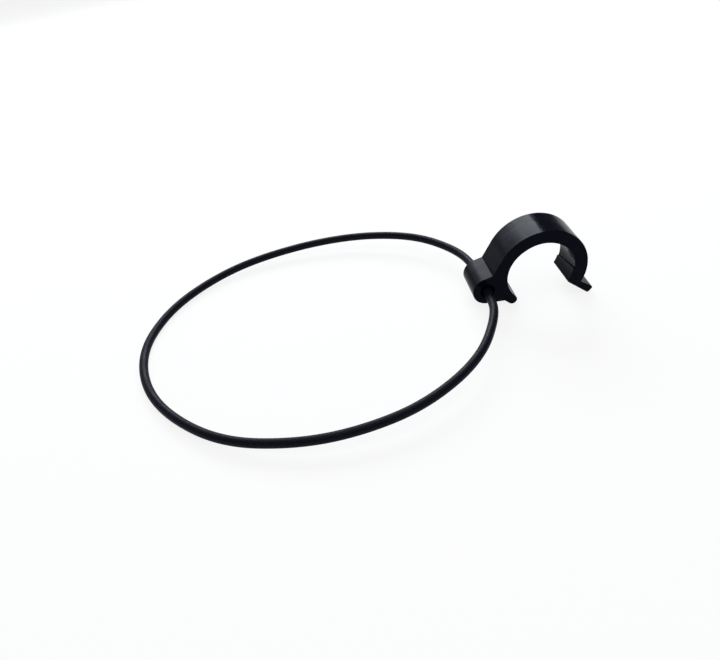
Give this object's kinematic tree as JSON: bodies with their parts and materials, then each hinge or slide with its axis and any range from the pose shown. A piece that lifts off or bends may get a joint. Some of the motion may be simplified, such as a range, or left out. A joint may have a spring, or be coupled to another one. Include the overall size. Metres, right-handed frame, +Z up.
{
  "type": "post clip with elastic loop",
  "caption": "C-shaped plastic snap clip for a round tube post, with a flared lead-in lip and a side barrel that carries a closed loop of round elastic cord.",
  "frame": {"origin": "centre of the round seat, that is of the post's axis, halfway along the clip", "axes": "+Y along the post, +X from the cord's barrel towards the seat and the flared lip, +Z up from the surface that the clip stands on"},
  "size_m": [0.1742, 0.1202, 0.0296],
  "materials": {
    "clip_plastic": "moulded black nylon, satin gloss with faint flow marks",
    "cord_rubber": "extruded black rubber, satin",
    "sleeve_plastic": "cut black plastic tube, matt"
  },
  "bodies": {
    "clip": {"post_clip": "clip_plastic"},
    "loop": {"elastic_loop": "cord_rubber", "joining_sleeve": "sleeve_plastic"}
  },
  "joints": [
    {"name": "loop_swing", "type": "hinge", "parent": "clip", "child": "loop", "pos_m": [-0.0199, 0, -0.0044], "axis": [0, 1, 0], "continuous": true}
  ]
}
